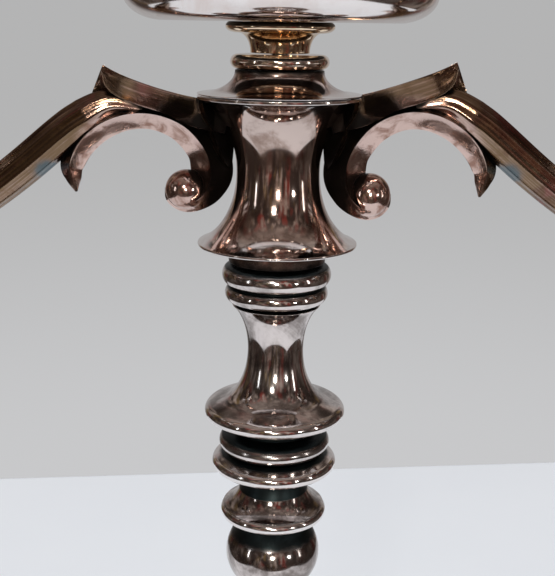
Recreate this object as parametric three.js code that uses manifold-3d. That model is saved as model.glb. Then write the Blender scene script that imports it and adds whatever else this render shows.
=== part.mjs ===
// A three-light table candelabra in turned and cast plated metal, in millimetres, +Z up.
// The origin is the centre of the underside of the foot, and the branches spread along X.
//
// The stick: foot, baluster and knops are clamped by one tie rod. A blind socket in the top of the stem
// takes the sleeve of a loose collar. The branch unit's spigot stands in that sleeve, so the branches lift
// off and turn. Each light is a drip pan, a candle cup and a nozzle that lifts out.

import * as THREE from 'three';
import { mergeVertices } from 'three/addons/utils/BufferGeometryUtils.js';
import Module from 'manifold-3d';

const manifold = await Module();
manifold.setup();

// ---- driving dimensions ----

const GAP = 0.3; // between faces that touch, and around rods and spigots in their bores
const STUD_RADIUS = 2; // the threaded ends that hold a light together
const TIE_ROD_RADIUS = 3;
const SPIGOT_RADIUS = 4;
const SLEEVE_WALL = 1.2;
const SOCKET_DEPTH = 22; // of the blind socket in the top of the stem

const FELT_THICKNESS = 2;
const PLATE_THICKNESS = 1.2;
const FOOT_RADIUS = 70;
const FOOT_HEIGHT = 96;
const FOOT_TOP_RADIUS = 11.5;
const FOOT_WALL = 1.2;
const FOOT_RIM_RADIUS = 2.4; // of the rolled edge
const FOOT_STEP = 15; // height of the stepped border below the trumpet
const FOOT_BORDER = 15.5; // width of that border

const FOOT_RING_HEIGHT = 5;
const BALUSTER_HEIGHT = 85.7;
const BALUSTER_RADIUS = 17;
const BALUSTER_RING_HEIGHT = 6.7;
const BALL_HEIGHT = 31.2;
const BALL_RADIUS = 13.6;
const CONE_HEIGHT = 14.8;
const CONE_RADIUS = 15.1;
const FLANGE_RING_HEIGHT = 5.2;
const FLANGE_RING_RADIUS = 17.6;
const BEAD_RING_HEIGHT = 5.2;
const BEAD_RING_RADIUS = 15.6;
const SPOOL_HEIGHT = 37.5;
const SPOOL_DISC_RADIUS = 19.8;
const SPOOL_WAIST_RADIUS = 7.7;
const COLLAR_HEIGHT = 10.7;
const COLLAR_RADIUS = 14.9;

const HUB_FOOT_HEIGHT = 4.7;
const HUB_FOOT_RADIUS = 13.1;
const HUB_HEIGHT = 39.7;
const HUB_RADIUS = 21.5;
const HUB_COVE = 10.4; // depth of the hub's waist below its rims
const HUB_RIM = 0.85; // thickness of the two rims
const HUB_FLARE = 3; // the waist's curve has its centre this far outside the rims, so it meets them at a slope
const CAP_HEIGHT = 6.2;
const CAP_NECK_RADIUS = 11.6;

const RING_HEIGHT = 3.7; // the bead ring under each light
const RING_RADIUS = 12.9;
const NECK_HEIGHT = 8.2; // the waisted neck with its flange, above that ring
const NECK_RADIUS = 7.7;
const NECK_FLANGE_RADIUS = 14.1;
const PAN_RADIUS = 42.5;
const PAN_HEIGHT = 12;
const PAN_WALL = 1.3;
const PAN_FLAT_RADIUS = 30;
const PAN_SAG = 0.7; // the pan's underside is a little lower towards its edge
const CUP_HEIGHT = 30;
const CUP_RADIUS = 13.6;
const CUP_LIP = 0.8; // how far the lip stands out past the belly
const CUP_WALL = 1.8;
const CUP_BORE_DEPTH = 19;
const CUP_BASE_RADIUS = 9;
const NOZZLE_WALL = 0.9;
const NOZZLE_FLANGE = 4.1; // how far the flange stands out past the cup's lip
const NOZZLE_LIP_HEIGHT = 3;

const SIDE_REACH = 150; // from the stem's axis to a side light's axis
const SIDE_DROP = 22; // a side pan is this much lower than the centre pan
const FERRULE_HEIGHT = 5.2;
const TUBE_RADIUS = 5; // of a branch where it leaves its scroll
const TUBE_END_RADIUS = 4.3;
const BRANCH_SLOPE = 40; // degrees below level where the branch leaves its scroll
const STUD_DEPTH = 8; // of the stud's hole in the end of a branch
const KNOB_RADIUS = 5.6; // the round terminal of the scroll

const LARGE_SIDES = 24; // facets around the foot, pans and hub
const STEM_SIDES = 18;
const SMALL_SIDES = 14;
const ROD_SIDES = 10;

// ---- finishes ----

const finish = (color, roughness, metalness = 1) =>
  new THREE.MeshStandardMaterial({ color, roughness, metalness });
const silver = () => finish(0xb5a9a4, 0.2);
const gilt = () => finish(0xa8865a, 0.25);
const steel = () => finish(0x85868a, 0.45);
const pitch = () => finish(0x2a2420, 0.7, 0);
const felt = () => finish(0x2d4436, 1, 0);

// ---- shapes ----

// Points of an elliptical arc in a turned outline, as [radius, height] pairs.
function arc(centreR, centreZ, alongR, alongZ, fromDegrees, toDegrees, steps) {
  return Array.from({ length: steps + 1 }, (_, step) => {
    const angle = THREE.MathUtils.degToRad(
      fromDegrees + ((toDegrees - fromDegrees) * step) / steps,
    );
    return [centreR + alongR * Math.cos(angle), centreZ + alongZ * Math.sin(angle)];
  });
}

// A turned solid. The outline runs up the outside and down the bore, or from axis to axis.
function turned(outline, sides) {
  const onAxis = outline[0][0] === 0;
  const closed = onAxis ? outline : [...outline, outline[0]];
  const points = closed.map(([radius, height]) => new THREE.Vector2(radius, height));
  return new THREE.LatheGeometry(points, sides).rotateX(Math.PI / 2);
}

// A turned ring or tube: an outside outline, closed by a plain bore.
function bored(outside, bore, sides) {
  const bottom = outside[0][1];
  const top = outside[outside.length - 1][1];
  return turned([...outside, [bore, top], [bore, bottom]], sides);
}

// A plain disc or rod with an optional bore.
function disc(radius, bottom, top, sides, bore = 0) {
  return bored([[radius, bottom], [radius, top]], bore, sides);
}

function solidOf(geometry) {
  const plain = geometry.clone();
  plain.deleteAttribute('normal');
  plain.deleteAttribute('uv');
  const merged = mergeVertices(plain, 1e-4);
  const corners = merged.index.array;
  const triangles = [];
  for (let i = 0; i < corners.length; i += 3) {
    const [a, b, c] = corners.slice(i, i + 3);
    if (a !== b && b !== c && c !== a) triangles.push(a, b, c);
  }
  return new manifold.Manifold(
    new manifold.Mesh({
      numProp: 3,
      vertProperties: merged.attributes.position.array,
      triVerts: new Uint32Array(triangles),
    }),
  );
}

function geometryOf(solid) {
  const { vertProperties, triVerts } = solid.getMesh();
  const geometry = new THREE.BufferGeometry();
  geometry.setAttribute('position', new THREE.BufferAttribute(vertProperties, 3));
  geometry.setIndex(new THREE.BufferAttribute(triVerts, 1));
  return geometry;
}

// A closed solid along a path in the plane y = 0. Each station is { at, across, section }: a point, the
// unit direction across the path, and the section's corners as [across, y] pairs, all with one count.
function swept(stations) {
  const count = stations[0].section.length;
  const positions = [];
  for (const { at, across, section } of stations) {
    for (const [offset, y] of section) {
      positions.push(at.x + offset * across.x, y, at.y + offset * across.y);
    }
  }
  const triangles = [];
  for (let i = 0; i + 1 < stations.length; i += 1) {
    for (let j = 0; j < count; j += 1) {
      const next = (j + 1) % count;
      const a = i * count + j;
      const b = i * count + next;
      triangles.push(a, b, b + count, a, b + count, a + count);
    }
  }
  const last = (stations.length - 1) * count;
  for (let j = 1; j + 1 < count; j += 1) {
    triangles.push(0, j + 1, j);
    triangles.push(last, last + j, last + j + 1);
  }
  const geometry = new THREE.BufferGeometry();
  geometry.setAttribute('position', new THREE.Float32BufferAttribute(positions, 3));
  geometry.setIndex(triangles);
  return geometry;
}

// Stations of a four-edged section along a smooth curve through rows of
// [x, z, half width, half thickness, ridge].
function stationsAlong(rows, steps) {
  const path = new THREE.CatmullRomCurve3(rows.map(([x, z]) => new THREE.Vector3(x, z, 0)));
  const size = new THREE.CatmullRomCurve3(
    rows.map(([, , width, thickness, ridge]) => new THREE.Vector3(width, thickness, ridge)),
  );
  return Array.from({ length: steps + 1 }, (_, step) => {
    const at = path.getPoint(step / steps);
    const along = path.getTangent(step / steps);
    const { x: halfWidth, y: halfThickness, z: ridge } = size.getPoint(step / steps);
    return {
      at,
      across: { x: along.y, y: -along.x },
      section: kiteSection(halfWidth, halfThickness, ridge),
    };
  });
}

// A four-edged section with hollow faces. Its front and back edges lie at ridge, a share of the half width.
function kiteSection(halfWidth, halfThickness, ridge) {
  const corners = [
    [halfWidth, 0],
    [ridge * halfWidth, halfThickness],
    [-halfWidth, 0],
    [ridge * halfWidth, -halfThickness],
  ];
  const hollow = 0.86;
  return corners.flatMap(([u, y], i) => {
    const [nextU, nextY] = corners[(i + 1) % 4];
    return [[u, y], [((u + nextU) / 2) * hollow, ((y + nextY) / 2) * hollow]];
  });
}

const roundSection = (radius) =>
  Array.from({ length: 10 }, (_, i) => {
    const angle = (i * Math.PI) / 5;
    return [radius * Math.cos(angle), radius * Math.sin(angle)];
  });

// ---- the assembly ----

const candelabra = new THREE.Group();

function add(name, geometry, material, x = 0, z = 0) {
  const mesh = new THREE.Mesh(geometry, material);
  mesh.name = name;
  mesh.position.set(x, 0, z);
  candelabra.add(mesh);
  return mesh;
}

// Levels of the stem's pieces, bottom to top. Each rests on the one below with a gap.
let nextLevel = FOOT_HEIGHT + GAP;
function stacked(height) {
  const bottom = nextLevel;
  nextLevel = bottom + height + GAP;
  return bottom;
}
const footRingZ = stacked(FOOT_RING_HEIGHT);
const balusterZ = stacked(BALUSTER_HEIGHT);
const balusterRingZ = stacked(BALUSTER_RING_HEIGHT);
const ballZ = stacked(BALL_HEIGHT);
const coneZ = stacked(CONE_HEIGHT);
const flangeRingZ = stacked(FLANGE_RING_HEIGHT);
const beadRingZ = stacked(BEAD_RING_HEIGHT);
const spoolZ = stacked(SPOOL_HEIGHT);
const collarZ = stacked(COLLAR_HEIGHT);
const hubFootZ = stacked(HUB_FOOT_HEIGHT);
const hubZ = stacked(HUB_HEIGHT);
const capZ = stacked(CAP_HEIGHT);
const centreRingZ = stacked(RING_HEIGHT);

const tieBore = TIE_ROD_RADIUS + GAP;
const studBore = STUD_RADIUS + GAP;
const spigotBore = SPIGOT_RADIUS + GAP;
const sleeveRadius = spigotBore + SLEEVE_WALL;
const socketRadius = sleeveRadius + GAP;

// Foot: a cast border under a spun trumpet, filled with pitch and closed by a plate with felt under it.
const plateZ = FELT_THICKNESS + GAP;
const loadingZ = plateZ + PLATE_THICKNESS + GAP;
const borderZ = 1; // the felt stands this far below the border's rolled edge
const rimCentreR = FOOT_RADIUS - FOOT_RIM_RADIUS;
const rimCentreZ = borderZ + FOOT_RIM_RADIUS;
const rimTopZ = rimCentreZ + FOOT_RIM_RADIUS;
const borderInnerR = rimCentreR - FOOT_RIM_RADIUS + FOOT_WALL;
const trumpetR = FOOT_RADIUS - FOOT_BORDER;
const trumpetRise = FOOT_HEIGHT - FOOT_STEP;
const trumpetRun = trumpetR - FOOT_TOP_RADIUS;
const beadRadius = 2;
const beadZ = FOOT_STEP - beadRadius;

// The trumpet's quarter of an ellipse, moved inwards, from near its foot to near its top.
const trumpetCurve = (inwards) =>
  arc(trumpetR, FOOT_HEIGHT, trumpetRun + inwards, trumpetRise + inwards, 268, 184, 7);

function footBorder() {
  const coveR = rimCentreR - 1;
  const coveDepth = coveR - trumpetR - beadRadius;
  const coveHeight = beadZ - rimTopZ - 0.6;
  const innerR = trumpetR + GAP;
  return turned(
    [
      [borderInnerR, borderZ],
      ...arc(rimCentreR, rimCentreZ, FOOT_RIM_RADIUS, FOOT_RIM_RADIUS, -90, 90, 4),
      ...arc(coveR, beadZ, coveDepth, coveHeight, 270, 180, 3),
      ...arc(trumpetR, beadZ, beadRadius, beadRadius, 30, 78, 2),
      [innerR, FOOT_STEP],
      [innerR, loadingZ],
      [borderInnerR, loadingZ],
    ],
    LARGE_SIDES,
  );
}

const shellTop = FOOT_HEIGHT - 2 * FOOT_WALL; // of the space inside the shell

function footShell() {
  const outside = trumpetCurve(0);
  const inside = trumpetCurve(FOOT_WALL).reverse();
  return turned(
    [
      [trumpetR, FOOT_STEP],
      ...outside,
      [FOOT_TOP_RADIUS, FOOT_HEIGHT],
      [tieBore, FOOT_HEIGHT],
      [tieBore, shellTop],
      ...inside,
      [trumpetR, inside[inside.length - 1][1]],
    ],
    LARGE_SIDES,
  );
}

const NUT_HEIGHT = 6;
const NUT_RADIUS = 6.4; // across corners / 2
const WASHER_THICKNESS = 1.2;
const WASHER_RADIUS = 9;
const nutZ = loadingZ + 1;
const washerZ = nutZ + NUT_HEIGHT + GAP;
const pocketTop = washerZ + WASHER_THICKNESS + GAP;

function footLoading() {
  const flank = trumpetCurve(FOOT_WALL + 2 * GAP);
  const rimR = trumpetR - GAP;
  const pocketRadius = WASHER_RADIUS + 2;
  return turned(
    [
      [rimR, loadingZ],
      [rimR, flank[0][1]],
      ...flank,
      [tieBore, shellTop - 2 * GAP],
      [tieBore, pocketTop],
      [pocketRadius, pocketTop],
      [pocketRadius, loadingZ],
    ],
    LARGE_SIDES,
  );
}

function hexNut() {
  const corners = Array.from({ length: 6 }, (_, i) => {
    const angle = (i * Math.PI) / 3;
    return new THREE.Vector2(NUT_RADIUS * Math.cos(angle), NUT_RADIUS * Math.sin(angle));
  });
  const shape = new THREE.Shape(corners);
  const hole = new THREE.Path();
  hole.absarc(0, 0, tieBore, 0, 2 * Math.PI, true);
  shape.holes.push(hole);
  return new THREE.ExtrudeGeometry(shape, {
    depth: NUT_HEIGHT,
    bevelEnabled: false,
    curveSegments: ROD_SIDES,
  });
}

const plateRadius = borderInnerR - GAP;
add('base_felt', disc(plateRadius, 0, FELT_THICKNESS, LARGE_SIDES), felt());
add('base_plate', disc(plateRadius, plateZ, plateZ + PLATE_THICKNESS, LARGE_SIDES), steel());
add('foot_border', footBorder(), silver());
add('foot_shell', footShell(), silver());
add('foot_loading', footLoading(), pitch());
add('tie_nut', hexNut(), steel(), 0, nutZ);
add(
  'tie_washer',
  disc(WASHER_RADIUS, washerZ, washerZ + WASHER_THICKNESS, ROD_SIDES, tieBore),
  steel(),
);

// The tie rod ends in a blind thread in the spool.
const TIE_THREAD = 10;
const tieTop = spoolZ + TIE_THREAD;
add('tie_rod', disc(TIE_ROD_RADIUS, loadingZ + GAP, tieTop, ROD_SIDES), steel());

// Stem pieces, each drawn from its own underside.
const bead = (rootR, height, radius, steps) =>
  arc(rootR, height / 2, radius - rootR, height / 2, -90, 90, steps);

add('foot_ring', bored(bead(10.5, FOOT_RING_HEIGHT, 13, 4), tieBore, SMALL_SIDES), silver(), 0, footRingZ);

function baluster() {
  const bellyZ = 0.74 * BALUSTER_HEIGHT;
  const outside = [
    [9.5, 0],
    [8, 3],
    ...arc(BALUSTER_RADIUS, 8, BALUSTER_RADIUS - 7.4, 0.5 * BALUSTER_HEIGHT, 180, 130, 3),
    ...arc(BALUSTER_RADIUS - 8, bellyZ, 8, 0.17 * BALUSTER_HEIGHT, -25, 70, 4),
    [8.6, BALUSTER_HEIGHT - 4.5],
    [7.2, BALUSTER_HEIGHT - 2.5],
    [8.2, BALUSTER_HEIGHT],
  ];
  return bored(outside, tieBore, STEM_SIDES);
}
add('baluster', baluster(), silver(), 0, balusterZ);

const balusterRing = bead(10.5, BALUSTER_RING_HEIGHT, 12.8, 4);
add('baluster_ring', bored(balusterRing, tieBore, SMALL_SIDES), silver(), 0, balusterRingZ);

function ballKnop() {
  const upperNeck = 8.5;
  const lowerNeck = 6.5;
  const centreZ = BALL_HEIGHT - 11.5;
  const halfHeight = 12.4;
  const fromAngle = -THREE.MathUtils.radToDeg(Math.acos(lowerNeck / BALL_RADIUS));
  const toAngle = THREE.MathUtils.radToDeg(Math.acos(upperNeck / BALL_RADIUS));
  const outside = [
    [8.5, 0],
    [lowerNeck, 2.5],
    ...arc(0, centreZ, BALL_RADIUS, halfHeight, fromAngle, toAngle, 8),
    [upperNeck, BALL_HEIGHT],
  ];
  return bored(outside, tieBore, STEM_SIDES);
}
add('ball_knop', ballKnop(), silver(), 0, ballZ);

function coneKnop() {
  const neck = 8.8;
  const edge = 1.7;
  const outside = [
    [9.5, 0],
    ...arc(CONE_RADIUS - 1.5, edge, 1.5, edge, -80, 70, 3),
    ...arc(CONE_RADIUS + 1.3, CONE_HEIGHT - 1.4, CONE_RADIUS + 1.3 - neck, 10.2, 256, 180, 4),
    [neck, CONE_HEIGHT],
  ];
  return bored(outside, tieBore, STEM_SIDES);
}
add('cone_knop', coneKnop(), silver(), 0, coneZ);

const flangeRing = [
  [9.8, 0],
  ...arc(FLANGE_RING_RADIUS - 1.5, 1.9, 1.5, 1.9, -80, 80, 4),
  [13.8, FLANGE_RING_HEIGHT],
];
add('flange_ring', bored(flangeRing, tieBore, STEM_SIDES), silver(), 0, flangeRingZ);

const beadRing = bead(12.8, BEAD_RING_HEIGHT, BEAD_RING_RADIUS, 4);
add('bead_ring', bored(beadRing, tieBore, STEM_SIDES), silver(), 0, beadRingZ);

// The trumpet-shaped spool: a disc below, a waist, and the blind socket in its top.
function stemSpool() {
  const neckHeight = 4;
  const lip = 2.5;
  const discTop = neckHeight + 2 * lip;
  const flareR = SPOOL_DISC_RADIUS - 3.6;
  const waistZ = discTop + 15.4;
  const socketFloor = SPOOL_HEIGHT - SOCKET_DEPTH;
  return turned(
    [
      [0, TIE_THREAD + GAP],
      [tieBore, TIE_THREAD + GAP],
      [tieBore, 0],
      [11.2, 0],
      [11.2, neckHeight],
      ...arc(flareR, neckHeight + lip, 3.6, lip, -60, 60, 4),
      ...arc(flareR, waistZ, flareR - SPOOL_WAIST_RADIUS, 15, 255, 180, 5),
      ...arc(flareR, waistZ, flareR - SPOOL_WAIST_RADIUS, 14.5, 162, 118, 3),
      [10.2, SPOOL_HEIGHT],
      [socketRadius, SPOOL_HEIGHT],
      [socketRadius, socketFloor],
      [0, socketFloor],
    ],
    STEM_SIDES,
  );
}
add('stem_spool', stemSpool(), silver(), 0, spoolZ);

// The loose collar: two rings over a sleeve that stands in the stem's socket.
function socketCollar() {
  const sleeveBottom = GAP - SOCKET_DEPTH;
  const grooveZ = 0.47 * COLLAR_HEIGHT;
  const upperHalf = (COLLAR_HEIGHT - grooveZ) / 2;
  const outside = [
    [sleeveRadius, sleeveBottom],
    [sleeveRadius, 0],
    [10.4, 0],
    ...arc(12, grooveZ / 2 + 0.3, 2.1, grooveZ / 2 - 0.3, -80, 75, 3),
    ...arc(COLLAR_RADIUS - 2.3, grooveZ + upperHalf, 2.3, upperHalf, -75, 90, 4),
  ];
  return bored(outside, spigotBore, STEM_SIDES);
}
add('socket_collar', socketCollar(), silver(), 0, collarZ);

// ---- the branch unit ----

const hubFoot = [
  [HUB_FOOT_RADIUS - 0.7, 0],
  [HUB_FOOT_RADIUS, 0.6],
  [HUB_FOOT_RADIUS, HUB_FOOT_HEIGHT],
];
add('hub_foot_ring', bored(hubFoot, spigotBore, STEM_SIDES), silver(), 0, hubFootZ);

// The hub's outside, from its own mid-height; grown makes it larger all round.
const hubHalf = HUB_HEIGHT / 2;
const hubMidZ = hubZ + hubHalf;
const hubDepth = HUB_COVE + HUB_FLARE;
const hubMeets = Math.acos(HUB_FLARE / hubDepth);
const hubMeetsDegrees = (hubMeets * 180) / Math.PI;
const hubCoveHalf = (hubHalf - HUB_RIM) / Math.sin(hubMeets);
const hubOutside = (grown) => [
  [HUB_RADIUS - 0.5 + grown, -hubHalf - grown],
  ...arc(
    HUB_RADIUS + HUB_FLARE + grown, 0, hubDepth, hubCoveHalf,
    180 + hubMeetsDegrees, 180 - hubMeetsDegrees, 12,
  ),
  [HUB_RADIUS + grown, hubHalf + grown],
];
add('hub', bored(hubOutside(0), studBore, LARGE_SIDES), silver(), 0, hubMidZ);

// The coved cap on the hub, from its own underside.
const capOutside = (grown) => [
  [HUB_RADIUS + grown, -grown],
  [HUB_RADIUS + grown, GAP + grown],
  ...arc(HUB_RADIUS + grown, CAP_HEIGHT, HUB_RADIUS - CAP_NECK_RADIUS, CAP_HEIGHT - GAP, 262, 184, 4),
  [CAP_NECK_RADIUS + grown, CAP_HEIGHT + grown],
];
add('hub_cap', bored(capOutside(0), studBore, LARGE_SIDES), silver(), 0, capZ);

// Levels of one light above the level its bead ring rests on.
const neckRise = RING_HEIGHT + GAP;
const panRise = neckRise + NECK_HEIGHT + GAP;
const cupRise = panRise + PAN_WALL + GAP;
const STUD_HOLE = 5; // depth of the stud's hole in the foot of a cup
const studRise = cupRise + STUD_HOLE - GAP;
const cupFloor = CUP_HEIGHT - CUP_BORE_DEPTH;
const cupBore = CUP_RADIUS - CUP_WALL;
const cupLipRadius = CUP_RADIUS + CUP_LIP;

// A waisted neck under a round-edged flange.
function lightNeck() {
  const flangeHalf = 1.6;
  const flangeZ = NECK_HEIGHT - flangeHalf;
  const waistRise = flangeZ - flangeHalf;
  const outside = [
    ...arc(NECK_RADIUS + 3.1, 0, 3.1, waistRise, 180, 96, 3),
    ...arc(NECK_FLANGE_RADIUS - 2.9, flangeZ, 2.9, flangeHalf, -90, 90, 4),
  ];
  return bored(outside, studBore, SMALL_SIDES);
}

// A shallow pan with a turned-out rim; its floor is one wall thick.
function dripPan() {
  const cornerR = PAN_RADIUS - 2.5 - PAN_FLAT_RADIUS;
  const cornerZ = 6;
  const cornerDrop = cornerZ + PAN_SAG;
  const outside = [
    [NECK_FLANGE_RADIUS + 1, 0],
    ...arc(PAN_FLAT_RADIUS, cornerZ, cornerR, cornerDrop, 270, 360, 4),
    [PAN_RADIUS, PAN_HEIGHT - 1],
    [PAN_RADIUS - 0.4, PAN_HEIGHT],
  ];
  const inside = [
    [PAN_RADIUS - PAN_WALL, PAN_HEIGHT],
    ...arc(PAN_FLAT_RADIUS, cornerZ, cornerR - PAN_WALL, cornerDrop - PAN_WALL, 360, 270, 3),
    [NECK_FLANGE_RADIUS + 1, PAN_WALL],
  ];
  return turned([[studBore, 0], ...outside, ...inside, [studBore, PAN_WALL]], LARGE_SIDES);
}

// A vase-shaped cup: foot, waist, belly and lip, bored for its nozzle.
function candleCup() {
  const waist = 6.8;
  return turned(
    [
      [0, STUD_HOLE],
      [studBore, STUD_HOLE],
      [studBore, 0],
      [CUP_BASE_RADIUS, 0],
      [CUP_BASE_RADIUS, 1.2],
      [waist, 3.4],
      [waist, 5],
      ...arc(CUP_RADIUS - 6.6, 14, 6.6, 8, -75, 20, 3),
      [CUP_RADIUS - 0.9, CUP_HEIGHT - 4],
      [cupLipRadius, CUP_HEIGHT - 2.4],
      [cupLipRadius, CUP_HEIGHT],
      [cupBore, CUP_HEIGHT],
      [cupBore, cupFloor],
      [0, cupFloor],
    ],
    SMALL_SIDES,
  );
}

// A nozzle hangs in the cup by its dished flange, and holds the candle.
function candleNozzle() {
  const sleeve = cupBore - GAP;
  const bore = sleeve - NOZZLE_WALL;
  const flangeZ = CUP_HEIGHT + GAP;
  const floor = cupFloor + 2 * GAP;
  const flangeR = cupLipRadius + NOZZLE_FLANGE;
  return turned(
    [
      [0, floor],
      [sleeve, floor],
      [sleeve, flangeZ],
      [flangeR - 3, flangeZ],
      [flangeR, flangeZ + NOZZLE_LIP_HEIGHT - NOZZLE_WALL],
      [flangeR - NOZZLE_WALL, flangeZ + NOZZLE_LIP_HEIGHT],
      [flangeR - 3.6, flangeZ + NOZZLE_WALL],
      [bore, flangeZ + NOZZLE_WALL],
      [bore, floor + NOZZLE_WALL],
      [0, floor + NOZZLE_WALL],
    ],
    SMALL_SIDES,
  );
}

function addLight(side, x, ringZ) {
  const ring = bored(bead(RING_RADIUS - 1.9, RING_HEIGHT, RING_RADIUS, 4), studBore, SMALL_SIDES);
  add(`${side}_ring`, ring, gilt(), x, ringZ);
  add(`${side}_neck`, lightNeck(), gilt(), x, ringZ + neckRise);
  add(`${side}_pan`, dripPan(), silver(), x, ringZ + panRise);
  add(`${side}_cup`, candleCup(), silver(), x, ringZ + cupRise);
  add(`${side}_nozzle`, candleNozzle(), silver(), x, ringZ + cupRise);
}

addLight('centre', 0, centreRingZ);

// The spigot stands in the collar's sleeve, and its thin upper part clamps the hub, cap and centre light.
const spigotBottom = collarZ - SOCKET_DEPTH + 3 * GAP;
const spigot = turned(
  [
    [0, spigotBottom],
    [SPIGOT_RADIUS, spigotBottom],
    [SPIGOT_RADIUS, hubZ - GAP],
    [STUD_RADIUS, hubZ - GAP],
    [STUD_RADIUS, centreRingZ + studRise],
    [0, centreRingZ + studRise],
  ],
  ROD_SIDES,
);
add('branch_spigot', spigot, steel());

// ---- the branches ----

// A branch is one casting in the plane y = 0, drawn from the hub's mid-height. Places near the hub are
// counted from the hub's rim, so they follow its size.
const rim = HUB_RADIUS;
const waist = HUB_RADIUS - HUB_COVE;
const sideRingZ = centreRingZ - SIDE_DROP;
const ferruleZ = sideRingZ - GAP - FERRULE_HEIGHT;
const branchEndZ = ferruleZ - GAP - hubMidZ;

// Rows of [x, z, half width, half thickness, ridge].
// The scroll, from its lower leaf tip over the arch, down beside the hub and under the knob.
const scrollRows = [
  [rim + 32.4, -6.2, 0.4, 0.4, 0],
  [rim + 33, -2.6, 2.1, 2, 0],
  [rim + 33.2, 1.4, 3.2, 3.2, 0],
  [rim + 30.3, 6.9, 3.6, 4, 0],
  [rim + 24.9, 11.7, 3.7, 4.6, 0],
  [rim + 18, 14.6, 3.8, 5, 0],
  [rim + 10.5, 14.7, 4, 5.2, 0],
  [rim + 3, 11.8, 4.8, 5.4, 0],
  [rim - 2.5, 5.8, 5.4, 5.4, 0],
  [rim - 3.9, -0.5, 5.6, 5.4, 0],
  [rim - 2.6, -5.2, 4.5, 5, 0],
  [rim + 0.2, -8.1, 3.5, 4.4, 0],
  [rim + 3.6, -8.9, 3.1, 3.8, 0],
  [rim + 6.6, -7.6, 2.2, 2.8, 0],
  [rim + 8.3, -5, 0.5, 0.8, 0],
];
const knobAt = [rim + 3, -5.6];

// The leaf that grows out of the hub's rim and ends in an upright edge under a raised tip.
const leafRows = [
  [rim - 8, 13, 5, 4.8, 0.5],
  [rim + 0.5, 15, 4.7, 5, 0.55],
  [rim + 8, 18, 3.5, 5.2, 0.58],
  [rim + 14.5, 20.1, 3.4, 5.2, 0.6],
  [rim + 19.5, 21.8, 3.5, 5, 0.5],
  [rim + 23, 22.9, 3.9, 3.9, 0.1],
  [rim + 25, 23.6, 4.2, 2.1, -0.45],
  [rim + 26, 24, 4.3, 0.4, -0.8],
];

// The web that joins the scroll and the leaf to the hub's waist.
const webRows = [
  [rim - 1.5, 19.2, 1.2, 3.6, 0],
  [rim - 2.6, 15.5, 3.4, 5, 0],
  [rim - 4.4, 11, 4.2, 5, 0],
  [rim - 6, 6.5, 3.9, 4.8, 0],
  [rim - 7.6, 2.6, 2, 3.4, 0],
  [rim - 8.6, 0.2, 0.4, 0.5, 0],
];

// The tube: out of the fork between leaf and scroll, down and out, and up to the side light.
function tubeStations() {
  const slope = THREE.MathUtils.degToRad(BRANCH_SLOPE);
  const out = new THREE.Vector3(Math.cos(slope), -Math.sin(slope), 0);
  const leave = new THREE.Vector3(rim + 43, 3.3, 0);
  const end = new THREE.Vector3(SIDE_REACH, branchEndZ, 0);
  const run = SIDE_REACH - leave.x;
  const root = new THREE.CatmullRomCurve3([
    new THREE.Vector3(rim + 14, 16.9, 0),
    new THREE.Vector3(rim + 22.5, 17.7, 0),
    new THREE.Vector3(rim + 30.3, 13.4, 0),
    leave.clone().addScaledVector(out, -0.12 * run),
    leave,
  ]);
  const sweep = new THREE.CubicBezierCurve3(
    leave,
    leave.clone().addScaledVector(out, 0.66 * run),
    new THREE.Vector3(SIDE_REACH, branchEndZ - 0.43 * run, 0),
    end,
  );
  const stationsOn = (curve, steps, radiusAt, from = 0) =>
    Array.from({ length: steps + 1 - from }, (_, i) => {
      const share = (i + from) / steps;
      const along = curve.getTangent(share);
      return {
        at: curve.getPoint(share),
        across: { x: along.y, y: -along.x },
        section: roundSection(radiusAt(share)),
      };
    });
  return [
    ...stationsOn(root, 7, (share) => TUBE_RADIUS * Math.min(1, 0.6 + 0.9 * share)),
    ...stationsOn(sweep, 14, (share) => THREE.MathUtils.lerp(TUBE_RADIUS, TUBE_END_RADIUS, share), 1),
  ];
}

function branch() {
  const scroll = stationsAlong(scrollRows, 24);
  const leaf = stationsAlong(leafRows, 12);
  const web = stationsAlong(webRows, 8);
  const knob = new THREE.SphereGeometry(KNOB_RADIUS, 12, 8).translate(knobAt[0], 0, knobAt[1]);
  const keepOut = [
    turned([[0, -hubHalf - GAP], ...hubOutside(GAP), [0, hubHalf + GAP]], LARGE_SIDES),
    turned([[0, -GAP], ...capOutside(GAP), [0, CAP_HEIGHT + GAP]], LARGE_SIDES)
      .translate(0, 0, capZ - hubMidZ),
    disc(studBore, branchEndZ - STUD_DEPTH, branchEndZ + 1, ROD_SIDES).translate(SIDE_REACH, 0, 0),
  ];
  let solid = solidOf(swept(tubeStations()));
  for (const piece of [swept(scroll), swept(leaf), swept(web), knob]) solid = solid.add(solidOf(piece));
  for (const piece of keepOut) solid = solid.subtract(solidOf(piece));
  return geometryOf(solid);
}

const ferrule = [
  [5.4, 0],
  ...arc(9.8, FERRULE_HEIGHT, 4, FERRULE_HEIGHT - 1, 265, 190, 3),
  [RING_RADIUS - 2.6, FERRULE_HEIGHT],
];

for (const [side, sign] of [['left', -1], ['right', 1]]) {
  const arm = add(`${side}_arm`, branch(), silver(), 0, hubMidZ);
  arm.rotation.z = sign > 0 ? 0 : Math.PI;
  const x = sign * SIDE_REACH;
  add(`${side}_ferrule`, bored(ferrule, studBore, SMALL_SIDES), silver(), x, ferruleZ);
  const studBottom = ferruleZ - GAP - STUD_DEPTH + GAP;
  add(`${side}_stud`, disc(STUD_RADIUS, studBottom, sideRingZ + studRise, ROD_SIDES), steel(), x);
  addLight(side, x, sideRingZ);
}

export default candelabra;
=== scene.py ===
"""A three-light table candelabra in worn silver plate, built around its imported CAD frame.

Outlines are in millimetres and counted from the underside of the CAD node they replace, whose place
comes from the frame. Turned pieces are outlines carried round their own axis. Each branch is one casting,
joined from five closed surfaces.
"""
import math

import bmesh
import bpy
import numpy as np
from mathutils import Matrix, Vector
from mathutils.bvhtree import BVHTree


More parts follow.
